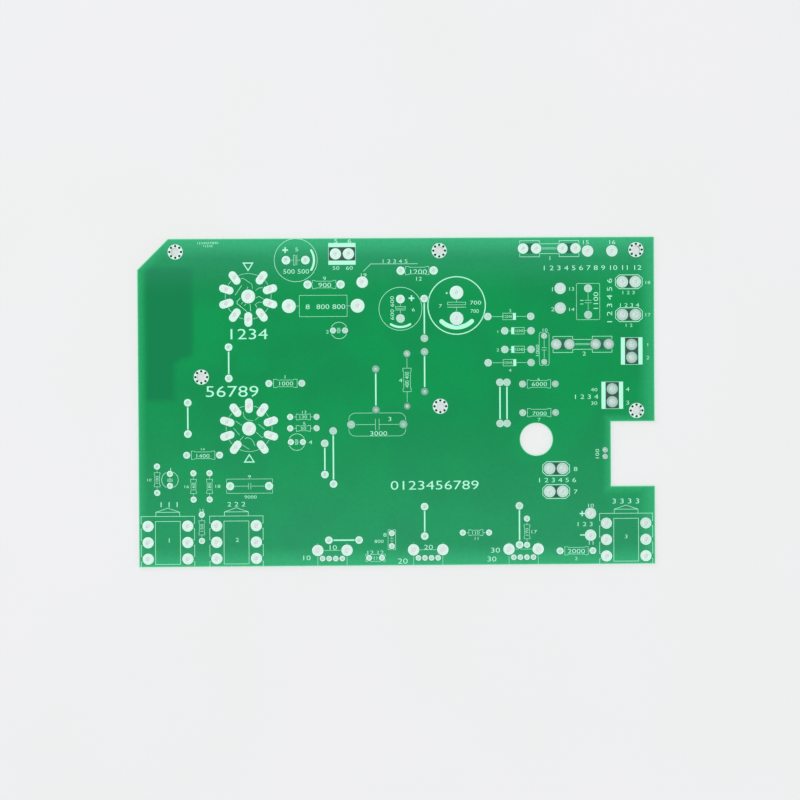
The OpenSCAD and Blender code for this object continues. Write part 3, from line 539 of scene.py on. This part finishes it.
def copper_field(nodes, sigma):
    """How much of the board near each sample has those nodes' copper in it, from 0 to 1."""
    tests = []
    for node in nodes:
        mesh = NODES[node].data
        tests.append(BVHTree.FromPolygons([v.co for v in mesh.vertices],
                                          [p.vertices for p in mesh.polygons]))
    down = Vector((0, 0, -1))
    columns = np.arange(-BOARD_L / 2, BOARD_L / 2 + SHADE_STEP, SHADE_STEP)
    rows = np.arange(-BOARD_W / 2, BOARD_W / 2 + SHADE_STEP, SHADE_STEP)
    field = np.array([[any(test.ray_cast(Vector((x * MM, y * MM, 1)), down)[0] is not None
                           for test in tests) for y in rows] for x in columns], float)
    return blurred(field, sigma)


def add_shade(piece, name, field):
    """Writes a field's value at each point of the piece, as an attribute for its material."""
    points = points_of(piece)
    across = (points[:, 0] + BOARD_L / 2) / SHADE_STEP
    up = (points[:, 1] + BOARD_W / 2) / SHADE_STEP
    i = np.clip(across.astype(int), 0, field.shape[0] - 2)
    j = np.clip(up.astype(int), 0, field.shape[1] - 2)
    s, t = np.clip(across - i, 0, 1), np.clip(up - j, 0, 1)
    value = ((1 - s) * (1 - t) * field[i, j] + s * (1 - t) * field[i + 1, j]
             + (1 - s) * t * field[i, j + 1] + s * t * field[i + 1, j + 1])
    set_attribute(piece, name, value)


def printed_side_mask():
    """The upper mask, cut into a grid so that its shade can follow the copper beneath."""
    piece = copy_of("solder_mask_top", "upper_solder_mask")
    edit_points(piece, points_of(piece)[:, 2] < PRINT_Z - LEVEL)
    bpy.ops.mesh.hide()
    for axis, size in ((0, BOARD_L), (1, BOARD_W)):
        normal = [float(a == axis) for a in range(3)]
        for k in range(1, int(size / GRID_STEP)):
            place = [n * (k * GRID_STEP - size / 2) * MM for n in normal]
            bpy.ops.mesh.select_all(action="SELECT")
            bpy.ops.mesh.bisect(plane_co=place, plane_no=normal, threshold=LEVEL * MM)
    bpy.ops.mesh.reveal()
    done()
    add_shade(piece, "copper", copper_field(["copper_pour_bottom", "copper_tracks_bottom"], 0.7))
    add_shade(piece, "top_copper", copper_field(["copper_area_top"], 0.5))
    finish_piece(piece, MASK, "solder_mask", "solder_mask_top")


def underside_masks():
    """The lower mask, which stands a little lower over copper than over bare laminate."""
    sheet = copy_of("solder_mask_bottom", "lower_solder_mask")
    move(sheet, points_of(sheet)[:, 2] < LEVEL, (0, 0, SKIN_DROP))
    finish_piece(sheet, MASK_UNDER_BARE, "solder_mask", "solder_mask_bottom")
    for node in ("copper_pour_bottom", "copper_tracks_bottom"):
        low, high = (corner.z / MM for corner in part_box(node))
        skin = copy_of(node, node.replace("copper", "mask_over"))
        upper = points_of(skin)[:, 2] > (low + high) / 2
        move(skin, ~upper, (0, 0, -low))
        move(skin, upper, (0, 0, low - high))
        finish_piece(skin, MASK_UNDER_COPPER, "solder_mask")


# ---- pads ----
def mirrored(section, low, high):
    """The same section upside down, halfway between two heights, and in reverse order."""
    return [(r, low + high - z) for r, z in reversed(section)]


def pad_profile(outer, hole):
    """Half of a dipped pad's section, from the land's rim over its crown and down the hole."""
    width = outer - hole
    upper = [(outer, UPPER_Z), (outer, PAD_Z - 0.035), (outer - TIN_EDGE, PAD_Z - 0.012),
             (outer - 0.3 * width, PAD_Z - 0.001), (outer - 0.55 * width, PAD_Z),
             (hole + 0.18 * width, PAD_Z - 0.006), (hole + 0.05 * width, PAD_Z - 0.03),
             (hole, UPPER_Z - 0.03)]
    lower = mirrored(upper, LOWER_Z, UPPER_Z)
    wall = hole + PLATING
    return upper + lower + [(wall, LOWER_Z), (wall, UPPER_Z)] + upper[:1]


SMALL_PAD = 1.9     # pads of this half length begin to count as small
SMALL_FADE = 0.3    # and those this much shorter are wholly so
OVAL = 0.05         # a pad whose tips stand out this far isn't round
TWINS = 0.5         # and a link's pads this much longer than wide are two that touch


def spun_pad(outer, hole, stretch):
    """A pad at the origin, turned from its section; stretch makes it an oval along X."""
    pad = turned(pad_profile(outer, hole))
    points = points_of(pad)
    out = np.hypot(points[:, 0], points[:, 1])
    set_attribute(pad, "inner", np.clip((outer - out) / (outer - hole), 0, 1))
    small = min(1, max(0, (SMALL_PAD - outer - stretch) / SMALL_FADE))
    set_attribute(pad, "small", np.full(len(out), small))
    share = np.clip((out - hole - PLATING) / (0.5 * (outer - hole)), 0, 1).round(3)
    for part in np.unique(share[share > 0]) if stretch else []:
        for side in (-1, 1):
            ring = (share == part) & (side * points[:, 0] > SAME)
            move(pad, ring, (side * part * stretch, 0, 0))
    pad.data.shade_smooth()
    return pad


def separate_solids(node):
    """The corner points of each solid of a CAD node, in millimetres."""
    whole = copy_of(node, "scratch")
    pick(whole)
    bpy.ops.mesh.separate(type="LOOSE")
    parts = list(bpy.context.selected_objects)
    clouds = [points_of(part) for part in parts]
    for part in parts:
        bpy.data.objects.remove(part)
    return sorted(clouds, key=lambda cloud: (round(cloud[:, 0].mean(), 2), cloud[:, 1].mean()))


def flat_middle(cloud):
    """The X and Y halfway between a solid's outermost points."""
    return (cloud.min(0) + cloud.max(0))[:2] / 2


def dark_reflection_share(x, y):
    """How much painted dark reflection lies on the tin, in the middle of the board, and some of it
    near the notch.

    Each patch is an ellipse that fades from its own centre, over so many millimetres."""
    middle = 1.25 - math.hypot(x / 35, (y - 4.5) / 28)
    right = 0.93 - 0.62 * math.hypot((x - 85) / 45, (y - 1.5) / 42)
    return max(0, min(1, middle), min(0.62, right))


pad_forms = {}


def place_pad(x, y, outer, hole, stretch=0.0, turn=0.0):
    """A copy of the pad of that size, set down at its place."""
    key = (round(outer, 3), round(hole, 3), round(stretch, 3))
    if key not in pad_forms:
        pad_forms[key] = spun_pad(*key)
    pad = set_down(pad_forms[key], x, y, turn)
    # the share of painted dark reflection on this pad's tin
    set_attribute(pad, "dark_reflection", np.full(len(pad.data.vertices), dark_reflection_share(x, y)))
    return pad


def pads_from(node):
    """Dipped pads in the places, sizes and turns of a node's solids."""
    pads = []
    for cloud in separate_solids(node):
        low, high = cloud[:, :2].min(0), cloud[:, :2].max(0)
        middle, size = flat_middle(cloud), high - low
        if node == "link_pads" and size[0] > size[1] + TWINS:
            radius = size[1] / 2
            for x in (low[0] + radius, high[0] - radius):
                near = np.hypot(cloud[:, 0] - x, cloud[:, 1] - middle[1])
                pads.append(place_pad(x, middle[1], radius, near.min()))
            continue
        out = cloud[:, :2] - middle
        far = np.hypot(out[:, 0], out[:, 1])
        tips = out[far > far.max() - SAME]
        tip = tips[np.argmax(tips[:, 1] + 1e-3 * tips[:, 0])]    # the right one if they are level
        along = math.atan2(tip[1], tip[0])
        across = np.abs(out @ np.array([-math.sin(along), math.cos(along)])).max()
        stretch = far.max() - across
        if stretch > OVAL:
            pads.append(place_pad(*middle, across, far.min(), stretch, along))
        else:
            pads.append(place_pad(*middle, size.max() / 2, far.min()))
    finish_piece(join(pads, "tinned_" + node), TIN, "tin", node)


def via_shade_plugs():
    """The small plated holes round each mounting hole are stopped with near-black plugs of painted
    shade.
    """
    head, stem = 0.47, 0.26
    upper = [(0, PRINT_Z), (head - 0.04, PRINT_Z), (head, PRINT_Z - 0.008), (stem, PRINT_Z - 0.02)]
    form = turned(upper + mirrored(upper, LOWER_Z, PRINT_Z))
    plugs = []
    for land in separate_solids("mounting_pads"):
        x, y = flat_middle(land)
        for k in range(STITCHES):
            turn = 2 * math.pi * k / STITCHES
            plugs.append(set_down(form, x + STITCH_CIRCLE * math.cos(turn),
                                  y + STITCH_CIRCLE * math.sin(turn)))
    bpy.data.objects.remove(form)
    finish_piece(join(plugs, "stitching_hole_shade_plugs"), HOLE_SHADE, "solder_mask")


def pad_gap(pitch, radius):
    """The shape left between two round pads on the X axis: narrow at its waist."""
    up = [radius * 0.94 * k / 5 for k in range(-5, 6)]
    side = [math.sqrt(radius ** 2 - v ** 2) - pitch / 2 for v in up]
    outline = list(zip(side, up)) + [(-s, v) for s, v in zip(side[::-1], up[::-1])]
    return plate(outline, PRINT_Z, PRINT_Z + FILM_T)


def half_terminal_shade(pitch, radius):
    """Half of the painted shade between a terminal's two bars, above both its pads on the X axis.
    """
    half_l, half_w = (size / 2 for size in TERMINAL_SHADE)
    outline = [(-half_l, 0), (-half_l, half_w), (half_l, half_w), (half_l, 0)]
    for middle in (pitch / 2, -pitch / 2):
        for k in range(PAD_SIDES // 2 + 1):
            turn = 2 * math.pi * k / PAD_SIDES
            outline.append((middle + radius * math.cos(turn), radius * math.sin(turn)))
    return plate(outline, PRINT_Z, PRINT_Z + FILM_T)


def gaps_between(node, shape, turns=(0,)):
    """Copies of that shape, each at those turns, wherever two pads of a node lie close."""
    gaps = []
    pads = [flat_middle(cloud) for cloud in separate_solids(node)]
    pairs = [(a, b, math.hypot(*(b - a))) for k, a in enumerate(pads) for b in pads[k + 1:]]
    pitch = min(pair[2] for pair in pairs)
    radius = min(pad[0] for pad in pads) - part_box(node)[0].x / MM
    form = shape(pitch, radius + FILM_GAP)
    for a, b, apart in pairs:
        if apart < pitch + CLOSE:
            along = math.atan2(*(b - a)[::-1])
            gaps += [set_down(form, *((a + b) / 2), along + turn) for turn in turns]
    bpy.data.objects.remove(form)
    return gaps


def pad_gaps():
    """Dark sheets of painted shade where two pads lie close, a lighter green between the fuse
    clips.
    """
    shade_sheets = (gaps_between("spade_pads", pad_gap)
               + gaps_between("terminal_pads", half_terminal_shade, (0, math.pi)))
    finish_piece(join(shade_sheets, "shade_sheets_between_pads"), GAP_SHADE, "glass_epoxy")
    finish_piece(join(gaps_between("fuse_clip_pads", pad_gap), "shade_sheets_between_clip_pads"),
                 CLIP_GAP_SHADE, "solder_mask")


# ---- numbers and signs in the legend ----
WIDEST = 1.4        # numerals are stretched to this at most, against their own proportions


def number(digits, left, right, low, high, turned=False):
    """Plain numerals that fill a box on the board, read from the right if turned."""
    deselect()
    bpy.ops.object.text_add()
    text = bpy.context.object
    text.data.body = digits
    text.data.resolution_u = 3
    text.data.extrude = 0.5
    text.data.offset = -0.006        # a little thinner than the font
    bpy.ops.object.convert(target="MESH")
    bpy.ops.object.origin_set(type="ORIGIN_GEOMETRY", center="BOUNDS")
    mark = bpy.context.object
    size = mark.dimensions.copy()
    wide, tall = (high - low, right - left) if turned else (right - left, high - low)
    wide = min(wide, WIDEST * size.x / size.y * tall)
    mark.scale = (wide * MM / size.x, tall * MM / size.y, INK_T * MM / size.z)
    mark.rotation_euler.z = math.pi / 2 if turned else 0
    x, y = from_corner((left + right) / 2, (low + high) / 2)
    mark.location = (x * MM, y * MM, (PRINT_Z + INK_T / 2) * MM)
    return mark


def plus(x, y, size, stroke):
    """A plus sign; its size is from tip to tip."""
    cx, cy = from_corner(x, y)
    a, b = size / 2, stroke / 2
    arm = [(b, -b), (a, -b), (a, b), (b, b)]
    quarters = [(1, 0), (0, 1), (-1, 0), (0, -1)]
    outline = [(cx + c * u - s * v, cy + s * u + c * v) for c, s in quarters for u, v in arm[1:]]
    return plate(outline, PRINT_Z, PRINT_Z + INK_T)


def minus(x, y, length, stroke):
    """A short bar."""
    cx, cy = from_corner(x, y)
    a, b = length / 2, stroke / 2
    outline = [(cx + u * a, cy + v * b) for u, v in ((-1, -1), (1, -1), (1, 1), (-1, 1))]
    return plate(outline, PRINT_Z, PRINT_Z + INK_T)


# numerals, the left, right, lower and upper side of their box, measured from the board's lower
# left corner, and True where they are read from the right
NUMBERS = {
    "socket_numbers": [
        ("1234", 35.5, 50.8, 88, 92), ("56789", 26.3, 46.6, 65.8, 70),
        ("0123456789", 95.9, 133, 29.5, 32.9)],
    "resistor_numbers": [
        ("9", 71.3, 73.4, 110.6, 112), ("900", 70, 74.9, 107.9, 109.6),
        ("1200", 105.5, 111.9, 112.8, 114.6), ("12", 107.3, 110.4, 110.3, 111.7),
        ("8", 64.4, 67.2, 99.5, 101.3), ("800 800", 69.2, 80.3, 99.5, 101.3),
        ("6", 153.9, 155.9, 71.4, 72.4), ("6000", 151.5, 158.9, 69.3, 70.8),
        ("7", 154, 156, 55.7, 56.9), ("7000", 151.5, 158.9, 58, 59.4),
        ("10", 2.8, 5.8, 33.4, 34.4), ("16", 17.3, 20.1, 30.7, 31.8),
        ("18", 29.3, 32.1, 30.7, 31.9), ("15", 23.1, 25.9, 21.5, 22.6),
        ("14", 23.7, 26.3, 45.2, 46.1), ("1400", 21.6, 28.5, 42.4, 43.8),
        ("11", 129, 132.1, 9.9, 11), ("17", 151.3, 154.5, 12.2, 13.5),
        ("2", 167.9, 170.4, 1.8, 3), ("2000", 165.4, 173, 4.4, 6.1),
        ("1", 56, 57.8, 72.8, 74), ("1000", 53.8, 60.9, 70.1, 71.6),
        ("130", 62.3, 65.4, 57.35, 58.45), ("50", 62.3, 65.4, 52.95, 54.05),
        ("110", 128.7, 131.9, 12.15, 13.25), ("100", 6.75, 7.85, 32.4, 35.6, True),
        ("160", 20.75, 21.85, 29.7, 32.9, True), ("180", 26.95, 28.05, 29.7, 32.9, True),
        ("150", 23.85, 24.95, 13.7, 16.9, True), ("170", 149.55, 150.65, 11.3, 14.5, True),
        ("400 400", 103.2, 104.7, 69, 75, True), ("13", 62.7, 65.7, 59.2, 60.3),
        ("5", 63.3, 65.1, 54.7, 55.9), ("4", 100.4, 102.6, 71.1, 72.5)],
    "capacitor_numbers": [
        ("5", 60.6, 62.8, 121.8, 123.2), ("500 500", 56.5, 66.4, 113.2, 114.9),
        ("2", 72.4, 74.3, 90.1, 91.3), ("6", 105.4, 107.8, 98.4, 99.7),
        ("600 600", 97.7, 99.1, 95, 104.5, True), ("7", 116, 118.1, 99.8, 101.1),
        ("700", 128.5, 132.8, 100.9, 102.4), ("700", 128.7, 131.9, 97.7, 99.1),
        ("11", 171.1, 172.4, 100.2, 103, True), ("1100", 176.3, 178.1, 97.2, 107.3, True),
        ("10", 156, 159, 90.3, 91.5), ("1000", 153.9, 155.1, 78.7, 87.5, True),
        ("1", 11.5, 13.6, 37, 38.4), ("9", 41.7, 44.1, 34.3, 35.6),
        ("9000", 39.2, 47.4, 26.5, 27.7), ("8", 93.9, 96.3, 11.4, 12.8),
        ("800", 89.3, 96.3, 9, 10.2), ("12 12", 86.4, 96.5, 4.5, 6),
        ("4", 65.6, 67.5, 47.4, 48.8), ("3", 96, 98.5, 56.1, 57.7),
        ("3000", 87.7, 98.1, 50.5, 52.2)],
    "diode_numbers": [
        ("3", 142.9, 145.1, 97.9, 99), ("1", 138.1, 140.3, 89.9, 90.9),
        ("2", 138.1, 140.2, 82.8, 83.9), ("4", 142.8, 144.9, 74.9, 76),
        ("12345", 141.5, 144.7, 95.75, 96.75), ("12345", 141.5, 144.7, 77.9, 78.9),
        ("12345", 145.9, 149.1, 90.2, 91.2), ("12345", 145.9, 149.1, 83, 84)],
    "wire_numbers": [
        ("1234567890", 23.4, 31.5, 124.75, 125.6), ("12345", 25.4, 29.6, 123.6, 124.4),
        ("5", 75.2, 78.4, 124.9, 126.5), ("6", 80.7, 83.4, 124.9, 126.5),
        ("50", 75.2, 78.4, 114.6, 116), ("60", 80.4, 83.6, 114.6, 116),
        ("19", 85.9, 89.1, 111.8, 113.2), ("1 2 3 4 5", 91, 108.3, 117.1, 118.5),
        ("1", 157.4, 161.6, 118, 119.4), ("15", 172.3, 174.6, 124, 125.5),
        ("16", 181.8, 185.6, 124, 125.5), ("1 2 3 4 5 6 7 8 9 10 11 12", 154.2, 197.8, 114, 115.8),
        ("1", 159.9, 160.9, 105.9, 107.4), ("13", 166, 169.7, 106.1, 107.4),
        ("2", 159.9, 161.1, 98.2, 99.7), ("14", 166, 169.7, 98.2, 99.5),
        ("1 2 3 4 5 6", 181.5, 183.5, 93.2, 111.3, True), ("18", 195.5, 199.3, 108.5, 109.7),
        ("1 2 3", 186.3, 193.5, 104.6, 105.9), ("1 2 3 4", 185.5, 195, 99.7, 101.1),
        ("17", 195.5, 199.3, 96, 97.2), ("1 2", 187.4, 192.7, 92, 93.2),
        ("2", 170.4, 174.8, 81, 82.5), ("1", 195.9, 198.6, 84.5, 85.7),
        ("2", 195.9, 198.6, 79.4, 80.7), ("4", 188, 190.7, 67.1, 68.6),
        ("3", 188, 190.7, 61.9, 63.4), ("40", 174.4, 178.3, 67.1, 68.4),
        ("30", 174.4, 178.3, 61.9, 63.2), ("1 2 3 4", 168.1, 178.8, 64.2, 65.9),
        ("100", 176.8, 178.2, 40.3, 45.7, True), ("8", 167.6, 170.5, 36.3, 37.9),
        ("7", 167.6, 170.5, 27.5, 29.1), ("1 2 3 4 5 6", 152.9, 171.2, 32, 33.7),
        ("10", 173, 176.9, 22.2, 23.6), ("11", 173, 176.9, 7.7, 9.1),
        ("1 2 3", 168.3, 177, 14.9, 16.5)],
    "jack_and_control_numbers": [
        ("3 3 3 3", 179.3, 197.6, 23.6, 25.5), ("1", 10.5, 13.1, 9.7, 11.3),
        ("2", 36.7, 39.4, 9.8, 11.3), ("3", 187.2, 189.9, 10.1, 11.5),
        ("1 1 1", 6.8, 16.9, 23.4, 25.3), ("2 2 2", 32.2, 43.4, 23.5, 25.2),
        ("10", 61.7, 68.1, 2.5, 4.3), ("10", 72.3, 77.9, 6.4, 8.2),
        ("20", 98.4, 105.5, 0.9, 2.9), ("20", 109.1, 114.7, 6.3, 8.1),
        ("30", 131, 141.9, 1.5, 3.4), ("30", 135.2, 140.5, 4.9, 6.8)],
}


def numbers_and_signs():
    """The legend's numerals, group by group, and its signs of polarity."""
    for group, marks in NUMBERS.items():
        finish_piece(join([number(*mark) for mark in marks], group), INK, "legend_ink")
    signs = [plus(57.25, 122.3, 2.2, 0.55), plus(105.9, 103.5, 2.2, 0.55),
             plus(119.5, 105.4, 0.9, 0.25), plus(171.5, 19.8, 2.0, 0.45),
             minus(171.6, 11.5, 1.9, 0.45)]
    finish_piece(join(signs, "polarity_signs"), INK, "legend_ink")


# ---- the room and the camera ----
ROOM_LIGHT = 0.69
LAMPS = {"key": ((-0.7, 0.5, 0.9), 5.5), "fill": ((0.8, -0.4, 0.8), 3.3)}    # place, watts
LAMP_SIZE = 0.9
FLOOR_SIZE = 4
CAMERA_PLACE = (-0.0128, 0.0135, 0.8602)
CAMERA_TURN = (-0.848, -0.941, -0.336)
CAMERA_LENS = 100


def room_light():
    """White light from all round; only in gloss, the middle of the ceiling is dark."""
    world = bpy.data.worlds.new("soft_room")
    bpy.context.scene.world = world
    g = Graph(world)
    x, y = g.split(g.add("ShaderNodeTexCoord", out="Generated"))[:2]
    across = (x - 0.03) * 0.55
    overhead = (across * across + y * y).math("SQRT").rise(0.05, 0.26)
    dark, white = (0.06, 0.06, 0.06, 1), (1, 1, 1, 1)
    colour = g.mix(g.ray("Glossy"), white, g.mix(overhead, dark, white))
    g.add("ShaderNodeOutputWorld", None, g.add("ShaderNodeBackground", None, colour, ROOM_LIGHT))


def room():
    """A pale floor, the room's light and two soft lamps."""
    bpy.ops.mesh.primitive_plane_add(size=FLOOR_SIZE)
    floor = bpy.context.object
    floor.name = "floor"
    floor.data.materials.append(floor_paint())
    room_light()
    for name, (place, power) in LAMPS.items():
        lamp = bpy.data.lights.new(name, "AREA")
        lamp.size, lamp.energy = LAMP_SIZE, power
        holder = bpy.data.objects.new(name, lamp)
        holder.location = place
        holder.rotation_euler = Vector(place).to_track_quat("Z", "Y").to_euler()
        bpy.context.scene.collection.objects.link(holder)


def camera():
    """Above the board, looking almost straight down."""
    data = bpy.data.cameras.new("camera")
    data.lens = CAMERA_LENS
    holder = bpy.data.objects.new("camera", data)
    holder.location = CAMERA_PLACE
    holder.rotation_euler = [math.radians(angle) for angle in CAMERA_TURN]
    bpy.context.scene.collection.objects.link(holder)
    bpy.context.scene.camera = holder


def dress_solids():
    """The solids that stay as they are get their finishes."""
    finishes = {"laminate": glass_epoxy(), "mounting_pads": TIN}
    copper = bare_copper()
    for name, node in NODES.items():
        if name.startswith("copper_"):
            finishes[name] = copper
        elif name.endswith("_legend"):
            finishes[name] = INK
        if name in finishes:
            node.data.materials.clear()
            node.data.materials.append(finishes[name])


bpy.context.scene.view_settings.view_transform = "Standard"
camera()
room()
dress_solids()
printed_side_mask()
underside_masks()
for node_name in sorted(NODES):
    if node_name.endswith("_pads") and node_name != "mounting_pads":
        pads_from(node_name)
for form in pad_forms.values():
    bpy.data.objects.remove(form)
via_shade_plugs()
pad_gaps()
numbers_and_signs()
